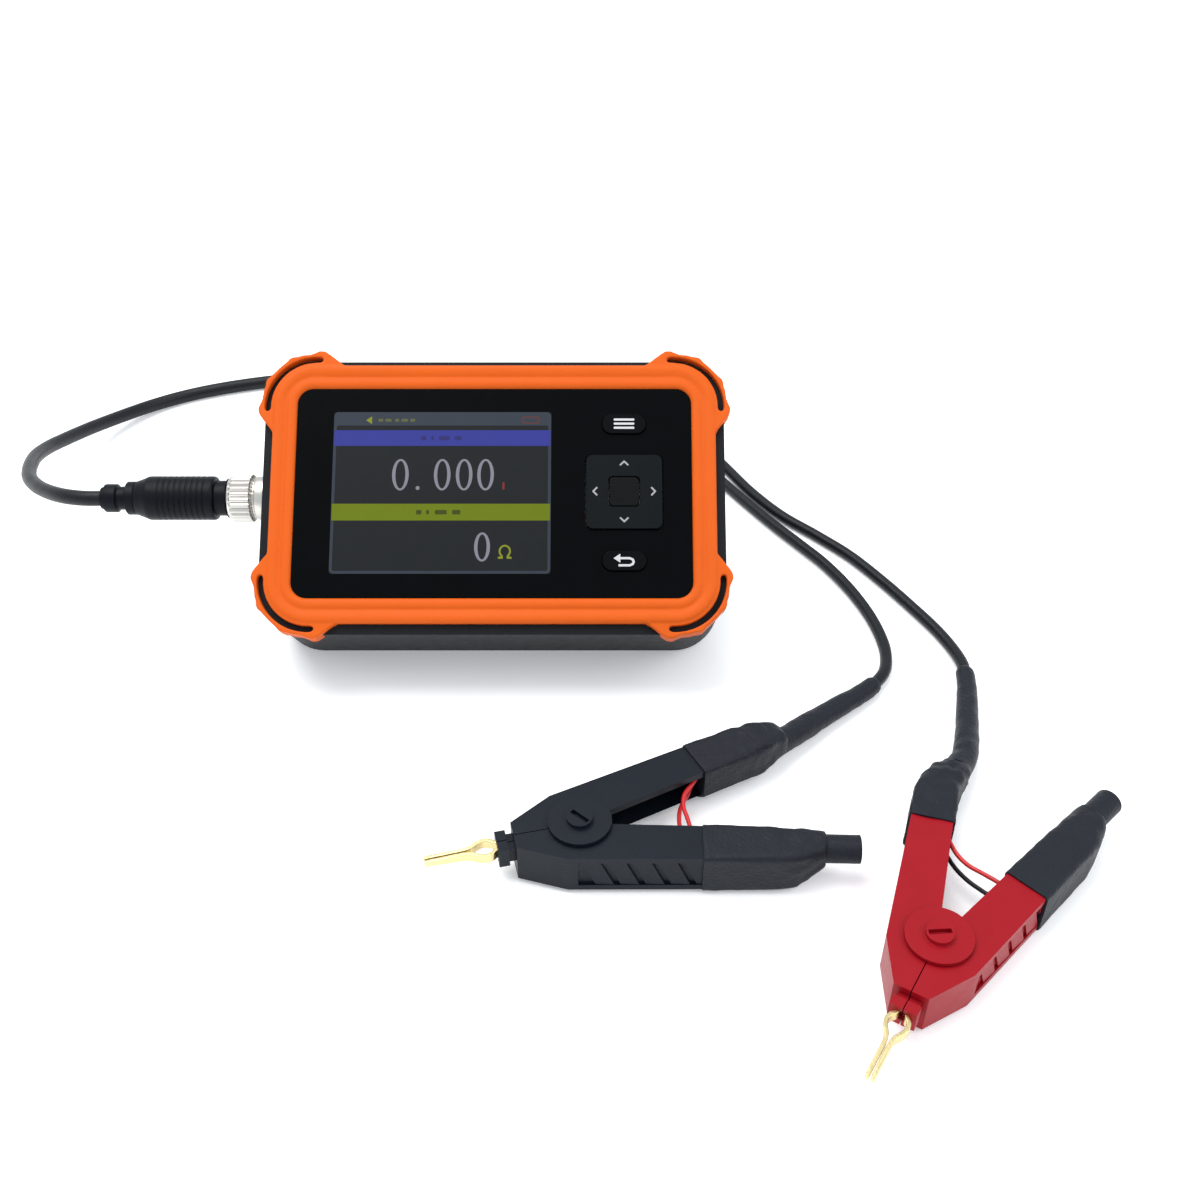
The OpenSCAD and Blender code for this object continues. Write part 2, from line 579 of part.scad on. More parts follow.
black_sleeve_end = [[41, arm_w + 0.6], [45, 8.2], [49.5, 6.4], [50.8, 5], [50.8, 2.4], [49, 0.6], [40, -0.4]];
red_sleeve_end = [[37, arm_w + 0.6], [41, 7.3], [45, 6], [47, 4.8], [48.6, 2.2], [48, -1.8], [45.6, -2.6],
    [40, -0.6]];

module arm_sleeve(outline) arm_shrink(28.6, outline, [arm_l + 2, 12]);

module end_sleeve(s0, cut) difference() {
    arm_shrink(s0, [[arm_l + 4, arm_w + 0.4], [46.8, 6.6], [47.8, 5.9], [47.8, -0.2], [47.4, -0.4]], cut);
    rotate([0, 0, arm_angle]) bar_x(stub_r, 44, 50, stub_w, stub_z);
}

module wire_stub() rotate([0, 0, arm_angle]) difference() {
    bar_x(stub_r, 44, 54.6, stub_w, stub_z);
    bar_x(stub_r - 0.7, 45, 54.6 + bite, stub_w, stub_z);
}

// The wires of the black clip run further from its pivot, by shift at their ends
module link_wires(shift = 0) for (route = link_routes)
    tube([for (i = [0 : len(route) - 1]) route[i] + [shift * max(0, i - 2) / 4, 0, 0]], 0.9, 0.9, sides = 6);

low_knuckle = body_low + clip_wall + slack;
high_knuckle = body_low + clip_h - clip_wall - slack - 1.8;

module black_fixed_arm() color("darkslategray") clip_at(black_clip_at) clip_half(low_knuckle);
module black_moving_arm() color("darkslategray") clip_at(black_clip_at) mirrored() clip_half(high_knuckle);
module black_fixed_jaw() color("gold") clip_at(black_clip_at) clip_jaw();
module black_moving_jaw() color("gold") clip_at(black_clip_at) mirrored() clip_jaw();
module black_pivot_screw() color("darkslategray") clip_at(black_clip_at) pivot_screw();
module black_pivot_cap() color("darkslategray") clip_at(black_clip_at) pivot_cap();
module black_spring() color("silver") clip_at(black_clip_at) spring_coil();
module black_arm_sleeve() color("black") clip_at(black_clip_at) arm_sleeve(black_sleeve_end);
module black_cable_sleeve() color("black") tube(black_sleeve_route, 6.2, 4.4, sides = 12);
module black_end_sleeve() color("black") clip_at(black_clip_at) mirrored() end_sleeve(24, [42.5, 32]);
module black_wire_stub() color("black") clip_at(black_clip_at) mirrored() wire_stub();
module black_link_wires() color("crimson") clip_at(black_clip_at) link_wires(1.8);

module red_fixed_arm() color("crimson") clip_at(red_clip_at) clip_half(low_knuckle);
module red_moving_arm() color("crimson") clip_at(red_clip_at) mirrored() clip_half(high_knuckle);
module red_fixed_jaw() color("gold") clip_at(red_clip_at) clip_jaw();
module red_moving_jaw() color("gold") clip_at(red_clip_at) mirrored() clip_jaw();
module red_pivot_screw() color("crimson") clip_at(red_clip_at) pivot_screw();
module red_pivot_cap() color("crimson") clip_at(red_clip_at) pivot_cap();
module red_spring() color("silver") clip_at(red_clip_at) spring_coil();
module red_arm_sleeve() color("black") clip_at(red_clip_at) arm_sleeve(red_sleeve_end);
module red_cable_sleeve() color("black") tube(red_sleeve_route, 6, 4.4, sides = 12);
module red_end_sleeve() color("black") clip_at(red_clip_at) mirrored() end_sleeve(21.6, [38.5, 16]);
module red_wire_stub() color("black") clip_at(red_clip_at) mirrored() wire_stub();
module red_link_wires() color("crimson") clip_at(red_clip_at) link_wires();

bumper_frame();
front_shell();
rear_shell();
front_panel();
display_window();
display_glass();
backlight_frame();
display_flex();
main_board();
board_chips();
tact_switches();
battery();
buzzer();
usb_port();
case_screws();
menu_key();
back_key();
pad_gimbal();
direction_pad();
ok_key();
stand_leg();
lead_socket();
socket_nut();
socket_contacts();
plug_nut();
plug_body();
plug_pins();
strain_relief();
main_cable();
lead_splitter();
black_lead();
red_lead();
black_fixed_arm();
black_moving_arm();
black_fixed_jaw();
black_moving_jaw();
black_pivot_screw();
black_pivot_cap();
black_spring();
black_arm_sleeve();
black_cable_sleeve();
black_end_sleeve();
black_wire_stub();
black_link_wires();
red_fixed_arm();
red_moving_arm();
red_fixed_jaw();
red_moving_jaw();
red_pivot_screw();
red_pivot_cap();
red_spring();
red_arm_sleeve();
red_cable_sleeve();
red_end_sleeve();
red_wire_stub();
red_link_wires();
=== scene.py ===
"""Looks of a handheld LCR meter with its test lead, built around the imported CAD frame."""

import json
import math

import bmesh
import bpy
from mathutils import Matrix, Vector, noise
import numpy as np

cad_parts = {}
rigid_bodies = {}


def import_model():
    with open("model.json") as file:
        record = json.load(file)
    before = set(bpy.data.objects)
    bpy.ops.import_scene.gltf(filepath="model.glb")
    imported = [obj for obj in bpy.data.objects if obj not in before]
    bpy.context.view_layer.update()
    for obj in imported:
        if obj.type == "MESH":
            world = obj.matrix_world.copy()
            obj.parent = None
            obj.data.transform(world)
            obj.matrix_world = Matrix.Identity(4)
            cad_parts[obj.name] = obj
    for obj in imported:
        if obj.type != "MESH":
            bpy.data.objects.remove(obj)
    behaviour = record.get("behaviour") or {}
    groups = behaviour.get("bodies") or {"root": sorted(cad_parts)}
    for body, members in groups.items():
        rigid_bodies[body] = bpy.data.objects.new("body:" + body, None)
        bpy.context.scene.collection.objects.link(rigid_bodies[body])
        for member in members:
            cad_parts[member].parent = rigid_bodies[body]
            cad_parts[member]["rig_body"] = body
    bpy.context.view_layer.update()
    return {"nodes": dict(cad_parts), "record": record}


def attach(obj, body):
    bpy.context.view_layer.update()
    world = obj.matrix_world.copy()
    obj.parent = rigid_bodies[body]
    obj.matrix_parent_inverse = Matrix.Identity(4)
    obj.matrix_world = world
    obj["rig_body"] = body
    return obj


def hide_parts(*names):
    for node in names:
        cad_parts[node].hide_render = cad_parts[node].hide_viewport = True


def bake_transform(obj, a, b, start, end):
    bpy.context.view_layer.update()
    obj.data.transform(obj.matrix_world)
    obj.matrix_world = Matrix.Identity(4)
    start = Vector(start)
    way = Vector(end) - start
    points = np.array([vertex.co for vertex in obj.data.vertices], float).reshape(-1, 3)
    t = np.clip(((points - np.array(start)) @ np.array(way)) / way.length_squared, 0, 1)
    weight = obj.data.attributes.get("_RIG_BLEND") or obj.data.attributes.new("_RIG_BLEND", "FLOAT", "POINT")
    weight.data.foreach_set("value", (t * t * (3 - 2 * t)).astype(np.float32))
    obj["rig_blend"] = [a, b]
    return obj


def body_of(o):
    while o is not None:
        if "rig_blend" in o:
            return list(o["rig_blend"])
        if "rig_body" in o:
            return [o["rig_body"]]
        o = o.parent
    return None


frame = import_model()
nodes = frame["nodes"]

MM = 0.001
LEAN = math.radians(50)
STAND_FLAT = 2.2
CASE_H, CASE_D = 62.5, 28.0
FACE_Z = CASE_H / 2 + 0.5
MANY_SIDES = 30
FRONT_Y = -CASE_D
PANEL_Y = FRONT_Y + 0.8
SHELL_Y = FRONT_Y + 2.2
SCALE = Matrix.Scale(MM, 4)
STOOD = SCALE @ Matrix.Translation((0, 0, -STAND_FLAT)) @ Matrix.Rotation(-LEAN, 4, "X")
FACE = STOOD @ Matrix.Translation((0, 0, FACE_Z))
UPRIGHT = Matrix.Rotation(math.radians(90), 4, "X")


# ---- Camera, floor and light ----

def make_camera():
    data = bpy.data.cameras.new("camera")
    data.lens, data.sensor_width = 42, 36
    data.clip_start, data.clip_end = 0.01, 20
    cam = bpy.data.objects.new("camera", data)
    bpy.context.scene.collection.objects.link(cam)
    cam.location = (0.02365, -0.24805, 0.21694)
    cam.rotation_euler = (math.radians(90 - 39.32), 0, 0)
    bpy.context.scene.camera = cam


def make_light(name, place, aim, size, power, colour=(1, 1, 1)):
    data = bpy.data.lights.new(name, "AREA")
    data.shape, data.size, data.energy, data.color = "DISK", size, power, colour
    lamp = bpy.data.objects.new(name, data)
    bpy.context.scene.collection.objects.link(lamp)
    lamp.location = place
    lamp.rotation_euler = (Vector(aim) - Vector(place)).to_track_quat("-Z", "Y").to_euler()


def make_stage():
    scene = bpy.context.scene
    scene.view_settings.view_transform = "Standard"
    world = bpy.data.worlds.new("studio")
    scene.world = world
    world.use_nodes = True
    back = world.node_tree.nodes["Background"]
    back.inputs["Color"].default_value = (0.92, 0.955, 1.0, 1)
    back.inputs["Strength"].default_value = 0.92
    mesh = bpy.data.meshes.new("floor")
    s = 6
    mesh.from_pydata([(-s, -s, 0), (s, -s, 0), (s, s, 0), (-s, s, 0)], [], [(0, 1, 2, 3)])
    floor = bpy.data.objects.new("floor", mesh)
    scene.collection.objects.link(floor)
    floor.location.z = -0.00005
    mat = bpy.data.materials.new("floor")
    mat.use_nodes = True
    shader = mat.node_tree.nodes["Principled BSDF"]
    shader.inputs["Base Color"].default_value = (0.96, 0.965, 0.975, 1)
    shader.inputs["Roughness"].default_value = 0.6
    shader.inputs["Emission Color"].default_value = (0.96, 0.98, 1, 1)
    shader.inputs["Emission Strength"].default_value = 0.22
    mesh.materials.append(mat)
    make_light("key", (-0.28, 0.16, 1.0), (0.02, 0, 0), 0.8, 9, (1, 0.985, 0.96))
    make_light("fill", (0.8, -0.3, 0.8), (0.02, 0, 0), 0.7, 3.5, (1, 0.99, 0.97))


# ---- Materials ----

def socket(shader, name, value):
    shader.inputs[name].default_value = value


def material(name, colour, rough=0.5, metal=0.0, grain=0.0, grain_size=0.3, tint=0.0,
             tint_size=6.0, rough_spread=0.08, coat=0.0, sheen=0.0, glow=0.0, specular=0.5):
    """A surface with fine grain in its relief, slow changes of tone and uneven gloss. Sizes in mm."""
    mat = bpy.data.materials.new(name)
    mat.use_nodes = True
    tree = mat.node_tree
    shader = tree.nodes["Principled BSDF"]
    socket(shader, "Metallic", metal)
    socket(shader, "Specular IOR Level", specular)
    socket(shader, "Coat Weight", coat)
    if sheen:
        socket(shader, "Sheen Weight", sheen)
    place = tree.nodes.new("ShaderNodeTexCoord")

    def noise_node(size, detail):
        node = tree.nodes.new("ShaderNodeTexNoise")
        node.inputs["Scale"].default_value = 1 / (size * MM)
        node.inputs["Detail"].default_value = detail
        tree.links.new(place.outputs["Object"], node.inputs["Vector"])
        return node

    slow = noise_node(tint_size, 3)
    mix = tree.nodes.new("ShaderNodeMix")
    mix.data_type = "RGBA"
    mix.inputs[6].default_value = (*[c * (1 - tint) for c in colour], 1)
    mix.inputs[7].default_value = (*[min(1, c * (1 + tint)) for c in colour], 1)
    tree.links.new(slow.outputs["Fac"], mix.inputs[0])
    tree.links.new(mix.outputs[2], shader.inputs["Base Color"])
    if glow:
        tree.links.new(mix.outputs[2], shader.inputs["Emission Color"])
        socket(shader, "Emission Strength", glow)
    spread = tree.nodes.new("ShaderNodeMapRange")
    spread.inputs["To Min"].default_value = max(0.02, rough - rough_spread)
    spread.inputs["To Max"].default_value = min(1, rough + rough_spread)
    tree.links.new(noise_node(tint_size * 0.35, 4).outputs["Fac"], spread.inputs["Value"])
    tree.links.new(spread.outputs["Result"], shader.inputs["Roughness"])
    if grain:
        bump = tree.nodes.new("ShaderNodeBump")
        bump.inputs["Strength"].default_value = grain
        bump.inputs["Distance"].default_value = grain_size * MM * 0.5
        tree.links.new(noise_node(grain_size, 2).outputs["Fac"], bump.inputs["Height"])
        tree.links.new(bump.outputs["Normal"], shader.inputs["Normal"])
    return mat


MATS = {
    "silicone": material("silicone", (0.6, 0.092, 0.0042), 0.55, grain=0.25, grain_size=0.35, tint=0.05,
                         specular=0.17),
    "case": material("case", (0.0062, 0.0076, 0.0096), 0.55, grain=0.5, grain_size=0.28, tint=0.12, specular=0.16),
    "panel": material("panel", (0.001, 0.0015, 0.002), 0.25, tint=0.3, rough_spread=0.04, specular=0.045),
    "window": material("window", (0.012, 0.0125, 0.014), 0.2, tint=0.1, specular=0.1),
    "screen": material("screen", (0.03, 0.031, 0.034), 0.2, tint=0.1, glow=0.6),
    "white": material("white", (0.75, 0.75, 0.74), 0.5, grain=0.1, tint=0.03),
    "flex": material("flex", (0.4, 0.2, 0.05), 0.35, grain=0.1, tint=0.1),
    "board": material("board", (0.01, 0.09, 0.03), 0.35, grain=0.1, tint=0.15),
    "chips": material("chips", (0.01, 0.01, 0.011), 0.5, grain=0.3, tint=0.15),
    "tin": material("tin", (0.55, 0.55, 0.56), 0.3, metal=1, grain=0.1, tint=0.08),
    "cell": material("cell", (0.3, 0.31, 0.33), 0.35, metal=0.6, grain=0.3, grain_size=1.2, tint=0.08),
    "screw_steel": material("screw_steel", (0.06, 0.06, 0.065), 0.35, metal=1, grain=0.2, tint=0.15),
    "keys": material("keys", (0.0031, 0.0051, 0.0064), 0.45, grain=0.3, grain_size=0.25, tint=0.12,
                     specular=0.08),
    "gimbal": material("gimbal", (0.6, 0.6, 0.57), 0.45, grain=0.1, tint=0.04),
    "stand": material("stand", (0.0062, 0.0076, 0.0096), 0.55, grain=0.5, grain_size=0.28, tint=0.12,
                      specular=0.16),
    "nickel": material("nickel", (0.62, 0.6, 0.56), 0.33, metal=1, grain=0.12, grain_size=0.4, tint=0.1),
    "contacts": material("contacts", (0.86, 0.6, 0.22), 0.22, metal=1, grain=0.05, tint=0.08),
    "overmould": material("overmould", (0.0022, 0.0034, 0.0062), 0.42, grain=0.3, grain_size=0.3, tint=0.15,
                          specular=0.12),
    "cable": material("cable", (0.0036, 0.0045, 0.007), 0.42, grain=0.35, grain_size=0.5, tint=0.2, specular=0.25),
    "sleeve": material("sleeve", (0.0078, 0.0106, 0.016), 0.5, grain=0.5, grain_size=0.7, tint=0.2, specular=0.2),
    "black_clip": material("black_clip", (0.005, 0.0083, 0.0138), 0.4, grain=0.2, grain_size=0.4, tint=0.15,
                           specular=0.17),
    "red_clip": material("red_clip", (0.28, 0.0035, 0.0095), 0.38, grain=0.15, grain_size=0.4, tint=0.08,
                         specular=0.17),
    "jaw": material("jaw", (0.74, 0.61, 0.31), 0.3, metal=1, grain=0.15, grain_size=0.5, tint=0.08),
    "spring": material("spring", (0.5, 0.5, 0.52), 0.3, metal=1, grain=0.1, tint=0.1),
    "link": material("link", (0.5, 0.01, 0.012), 0.4, grain=0.2, tint=0.12),
}
MATS.update({
    "lit_edge": material("lit_edge", (0.0225, 0.028, 0.038), 0.4, tint=0.04, glow=0.4, specular=0.1),
    "lit_ground": material("lit_ground", (0.0082, 0.0096, 0.0106), 0.4, tint=0.04, glow=0.4, specular=0.1),
    "lit_blue": material("lit_blue", (0.022, 0.026, 0.158), 0.4, tint=0.04, glow=0.4, specular=0.1),
    "lit_green": material("lit_green", (0.082, 0.108, 0.004), 0.4, tint=0.04, glow=0.4, specular=0.1),
    "lit_digit": material("lit_digit", (0.13, 0.13, 0.155), 0.4, tint=0.04, glow=0.4, specular=0.1),
    "lit_yellow": material("lit_yellow", (0.13, 0.145, 0.012), 0.4, tint=0.04, glow=0.4, specular=0.1),
    "lit_dim_yellow": material("lit_dim_yellow", (0.06, 0.066, 0.028), 0.4, tint=0.04, glow=0.4, specular=0.1),
    "lit_red": material("lit_red", (0.11, 0.018, 0.018), 0.4, tint=0.04, glow=0.4, specular=0.1),
    "lit_dim_red": material("lit_dim_red", (0.06, 0.024, 0.024), 0.4, tint=0.04, glow=0.4, specular=0.1),
    "dark_blue": material("dark_blue", (0.018, 0.018, 0.09), 0.4, tint=0.04, glow=0.4, specular=0.1),
    "dark_green": material("dark_green", (0.03, 0.038, 0.006), 0.4, tint=0.04, glow=0.4, specular=0.1),
    "print": material("print", (0.5, 0.5, 0.51), 0.5, grain=0.1, tint=0.05),
    "pad_print": material("pad_print", (0.3, 0.3, 0.31), 0.5, grain=0.1, tint=0.05),
    "ok_key": material("ok_key", (0.002, 0.0028, 0.0036), 0.4, grain=0.2, grain_size=0.25, tint=0.12,
                       specular=0.1),
    "panel_key": material("panel_key", (0.0012, 0.0017, 0.0022), 0.3, tint=0.2, specular=0.07),
})
for part in frame["record"]["subparts"]:
    obj = nodes[part["node"]]
    obj.data.materials.clear()
    obj.data.materials.append(MATS[part["material_slot"]])


# ---- Cords, on the routes that the CAD solids follow, in mm ----

MAIN_ROUTE = [(-91, 18.6, 29.1), (-96, 18.7, 29), (-101.5, 20.7, 28.2), (-107, 25, 26.4),
    (-112.3, 30.8, 24.2), (-117, 38.2, 21.8), (-120.2, 47, 19.1), (-122.3, 56, 16.1),
    (-122.7, 65, 12.9), (-121.2, 74.2, 9.8), (-118.2, 84.4, 6.7), (-113.6, 94.6, 3.9),
    (-107.4, 103, 2.3), (-99.6, 109, 1.8), (-91, 113, 1.8), (-80.9, 116.4, 1.8),
    (-70, 118.9, 1.8), (-57, 120.3, 1.8), (-46, 120.5, 1.8), (-35, 120, 1.8), (-24, 119, 1.8),
    (-13, 117.4, 2.2), (-6, 116, 2.8)]
RED_ROUTE = [(8, 114, 2.8), (14, 112.4, 1.8), (22, 109.4, 1.4), (31, 104.6, 1.4), (39.5, 98.4, 1.4),
    (47, 91, 1.4), (53.2, 82, 1.4), (58.6, 71.6, 1.4), (64.2, 60.6, 1.4), (71.2, 50, 1.4),
    (79.4, 41.2, 1.4), (86.8, 32.6, 1.4), (93.2, 22.6, 1.4), (98.8, 12.6, 1.4),
    (103.2, 4, 1.4), (105.8, -3, 1.5), (106.8, -9, 2), (106.3, -15, 2.4), (105.2, -20, 2.7)]
BLACK_ROUTE = [(8, 110.4, 2.8), (14, 108, 1.8), (21, 104.6, 1.4), (29, 99.6, 1.4), (37, 93.2, 1.4),
    (44, 86, 1.4), (50.4, 77, 1.4), (56.2, 66.6, 1.4), (62.6, 55.8, 1.4), (69, 45.6, 1.4),
    (74.6, 37.4, 1.4), (80, 29.2, 1.4), (84.8, 19.4, 1.4), (88.2, 9.4, 1.4), (89.8, 0.6, 1.4),
    (89.8, -6, 1.5), (88.2, -12, 2), (84.4, -17, 2.4), (79.6, -21.2, 2.8)]


def smooth_route(route, steps=6):
    """Catmull-Rom points through a route."""
    last = len(route) - 1
    points = [Vector(p) for p in route]
    found = []
    for i in range(last):
        a, b = points[max(0, i - 1)], points[i]
        c, d = points[i + 1], points[min(last, i + 2)]
        for k in range(steps):
            t = k / steps
            found.append(0.5 * (2 * b + (c - a) * t + (2 * a - 5 * b + 4 * c - d) * t * t
                                + (3 * b - a - 3 * c + d) * t ** 3))
    return found + [points[-1]]


def make_cord(name, route, diameter, slot_name, node):
    data = bpy.data.curves.new(name, "CURVE")
    data.dimensions = "3D"
    data.bevel_depth, data.bevel_resolution, data.use_fill_caps = diameter / 2 * MM, 6, True
    points = smooth_route(route)
    spline = data.splines.new("POLY")
    spline.points.add(len(points) - 1)
    for p, q in zip(spline.points, points):
        p.co = (*(q * MM), 1)
    spline.use_smooth = True
    cord = bpy.data.objects.new(name, data)
    bpy.context.scene.collection.objects.link(cord)
    data.materials.append(MATS[slot_name])
    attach(cord, "meter")
    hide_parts(node)
    return cord


# ---- Mesh helpers, all in mm until they are placed ----

def add_piece(name, mesh, material_name, slot_name, body, *replaced):
    """Puts a mesh into the scene, riding on a body. With no body, the caller blends it between two."""
    piece = bpy.data.objects.new(name, mesh)
    bpy.context.scene.collection.objects.link(piece)
    mesh.materials.clear()
    mesh.materials.append(MATS[material_name])
    if body:
        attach(piece, body)
    if replaced:
        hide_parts(*replaced)
    return piece


def shade(mesh, angle=35):
    mesh.polygons.foreach_set("use_smooth", [True] * len(mesh.polygons))
    mesh.set_sharp_from_angle(angle=math.radians(angle))
    return mesh


def evaluated(piece):
    graph = bpy.context.evaluated_depsgraph_get()
    graph.update()
    return bpy.data.meshes.new_from_object(piece.evaluated_get(graph))


def welded(mesh, distance=1e-4):
    bm = bmesh.new()
    bm.from_mesh(mesh)
    bmesh.ops.remove_doubles(bm, verts=bm.verts, dist=distance)
    bmesh.ops.recalc_face_normals(bm, faces=bm.faces)
    bm.to_mesh(mesh)
    bm.free()
    return mesh


def loft(rings, looped=False):
    """Skin over rings of the same number of points, closed at both ends unless it is looped."""
    bm = bmesh.new()
    rows = [[bm.verts.new(p) for p in ring] for ring in rings]
    count = len(rows[0])
    for a, b in list(zip(rows, rows[1:])) + ([(rows[-1], rows[0])] if looped else []):
        for i in range(count):
            j = (i + 1) % count
            bm.faces.new((a[i], a[j], b[j], b[i]))
    if not looped:
        bm.faces.new(rows[0][::-1])
        bm.faces.new(rows[-1])
    bmesh.ops.recalc_face_normals(bm, faces=bm.faces)
    mesh = bpy.data.meshes.new("loft")
    bm.to_mesh(mesh)
    bm.free()
    return mesh


def rounded_rect(w, h, r, steps=10, edge_steps=1, x=0.0, y=0.0):
    """Outline of a rectangle with round corners, from its upper right corner round to the left."""
    points = []
    for k, (sx, sy) in enumerate(((1, 1), (-1, 1), (-1, -1), (1, -1))):
        for i in range(steps + 1):
            a = math.radians(90 * (k + i / steps))
            points.append((x + sx * (w / 2 - r) + r * math.cos(a), y + sy * (h / 2 - r) + r * math.sin(a)))
    if edge_steps == 1:
        return points
    full = []
    for i, p in enumerate(points):
        full.append(p)
        if i % (steps + 1) == steps:
            q = points[(i + 1) % len(points)]
            full += [(p[0] + (q[0] - p[0]) * k / edge_steps, p[1] + (q[1] - p[1]) * k / edge_steps)
                     for k in range(1, edge_steps)]
    return full


def oval(w, h, steps=32, x=0.0, y=0.0):
    return [(x + w / 2 * math.cos(math.tau * k / steps), y + h / 2 * math.sin(math.tau * k / steps))
            for k in range(steps)]


def plate_mesh(outlines, y0, y1, edge=0.0, edge_steps=3, place=None):
    """Flat solid in the plane of the front face, from its outline and the outlines of its holes."""
    curve = bpy.data.curves.new("plate", "CURVE")
    curve.dimensions, curve.fill_mode = "2D", "BOTH"
    curve.extrude = (y1 - y0) / 2 - edge
    curve.bevel_depth, curve.bevel_resolution, curve.offset = edge, edge_steps, -edge
    for line in outlines:
        spline = curve.splines.new("POLY")
        spline.points.add(len(line) - 1)
        for point, (x, z) in zip(spline.points, line):
            point.co = (x, z, 0, 1)
        spline.use_cyclic_u = True
    holder = bpy.data.objects.new("plate", curve)
    bpy.context.scene.collection.objects.link(holder)
    mesh = welded(evaluated(holder))
    bpy.data.objects.remove(holder)
    mesh.transform((place or FACE) @ Matrix.Translation((0, (y0 + y1) / 2, 0)) @ UPRIGHT)
    return mesh


def joined(meshes):
    bm = bmesh.new()
    for mesh in meshes:
        bm.from_mesh(mesh)
    mesh = bpy.data.meshes.new("joined")
    bm.to_mesh(mesh)
    bm.free()
    return mesh


def softened(mesh, voxel, rounds):
    """Fuses overlapping solids into one skin with soft edges. The voxel is in mm."""
    holder = bpy.data.objects.new("soften", mesh)
    bpy.context.scene.collection.objects.link(holder)
    remesh = holder.modifiers.new("remesh", "REMESH")
    remesh.mode, remesh.voxel_size = "VOXEL", voxel * MM
    smooth = holder.modifiers.new("smooth", "SMOOTH")
    smooth.factor, smooth.iterations = 0.5, rounds
    result = evaluated(holder)
    bpy.data.objects.remove(holder)
    return result


def rounded_copy(node, width, material_name, segments=3, angle=28.0, name=None, split=False):
    """Copy of a CAD solid with its sharp edges rounded off by width, in mm.
    With split, a face that runs round openings is cut up while it is flat, or it would fold over them once
    bevelled. Its many narrow faces leave less room for the rounding."""
    cad = nodes[node]
    mesh = cad.data.copy()
    for extra in ("custom_normal", "sharp_edge", "sharp_face"):
        if extra in mesh.attributes:
            mesh.attributes.remove(mesh.attributes[extra])
    bm = bmesh.new()
    bm.from_mesh(mesh)
    bmesh.ops.remove_doubles(bm, verts=bm.verts, dist=1e-6)
    bmesh.ops.dissolve_limit(bm, angle_limit=math.radians(0.6), verts=bm.verts, edges=bm.edges)
    if split:
        bmesh.ops.triangulate(bm, faces=[f for f in bm.faces if len(f.verts) > MANY_SIDES])
    bm.to_mesh(mesh)
    bm.free()
    mesh.polygons.foreach_set("use_smooth", [True] * len(mesh.polygons))
    slot_name = next(p["material_slot"] for p in frame["record"]["subparts"] if p["node"] == node)
    piece = add_piece(name or node + "_skin", mesh, material_name, slot_name, body_of(cad)[0], node)
    bevel = piece.modifiers.new("edges", "BEVEL")
    bevel.width, bevel.segments, bevel.limit_method = width * MM, segments, "ANGLE"
    bevel.angle_limit, bevel.use_clamp_overlap = math.radians(angle), True
    bevel.miter_outer = "MITER_ARC"
    normals = piece.modifiers.new("normals", "WEIGHTED_NORMAL")
    normals.keep_sharp = True
    return piece


def along_x(profile, sides=64, shape=None):
    """Turned solid on the axis of the lead socket, from (x, radius) pairs in mm."""
    rings = []
    for x, r in profile:
        ring = []
        for k in range(sides):
            a = math.tau * k / sides
            radius = r if shape is None else shape(x, r, a)
            ring.append((x, TABLE_Y + radius * math.cos(a), TABLE_Z + radius * math.sin(a)))
        rings.append(ring)
    mesh = loft(rings)
    mesh.transform(SCALE)
    return mesh


def frames_along(points):
    """Two directions across a line at each of its points, turned as little as possible."""
    across = None
    found = []
    for i, p in enumerate(points):
        t = (points[min(i + 1, len(points) - 1)] - points[max(i - 1, 0)]).normalized()
        if across is None:
            across = t.cross(Vector((0, 0, 1))).normalized()
        across = (across - t * across.dot(t)).normalized()
        found.append((across, across.cross(t) * -1))
    return found


def tube_mesh(points, radius, sides=10, squeeze=1.0):
    """Tube along points in mm; radius is a number or a function of the share of the way along."""
    rings = []
    for i, (p, (u, v)) in enumerate(zip(points, frames_along(points))):
        r = radius(i / (len(points) - 1)) if callable(radius) else radius
        rings.append([p + u * r * math.cos(math.tau * k / sides) + v * r * squeeze * math.sin(math.tau * k / sides)
                      for k in range(sides)])
    return loft(rings)


def wrinkled(mesh, depth, size, seed=0.0, growth=None):
    """Moves a mesh in mm along its normals by slow noise, as heat leaves a shrunk sleeve."""
    offset = Vector((seed, seed * 1.7, seed * 0.3))
    moves = [v.normal * depth * noise.noise(v.co / size + offset) * (growth(v.co) if growth else 1)
             for v in mesh.vertices]
    for v, move in zip(mesh.vertices, moves):
        v.co += move
    return mesh


make_camera()
make_stage()


# ---- Soft frame ----

RING_W, RING_H, RING_R = 99.0, 59.0, 9.6
PANEL_W, PANEL_H, PANEL_R = 88.0, 47.7, 3.5
# Section of the ring from its outer to its inner edge: share of the way across, and depth
RING_SECTION = [(0, -25.8), (0, -26.9), (0.012, -27.35), (0.045, -27.72), (0.1, -27.92), (0.18, -28),
                (0.27, -27.97), (0.36, -27.86), (0.44, -27.68), (0.5, -27.5), (0.535, -27.42), (0.56, -27.46),
                (0.6, -27.66), (0.66, -27.8), (0.74, -27.86), (0.83, -27.82), (0.91, -27.66), (0.97, -27.36),
                (1, -26.9), (1, -25.8)]


def silicone_ring():
    rings = []
    for t, y in RING_SECTION:
        line = rounded_rect(RING_W + (PANEL_W - RING_W) * t, RING_H + (PANEL_H - RING_H) * t,
                            RING_R + (PANEL_R - RING_R) * t, 16, 10)
        rings.append([(x, y, z) for x, z in line])
    mesh = loft(rings, looped=True)
    mesh.transform(FACE)
    return mesh


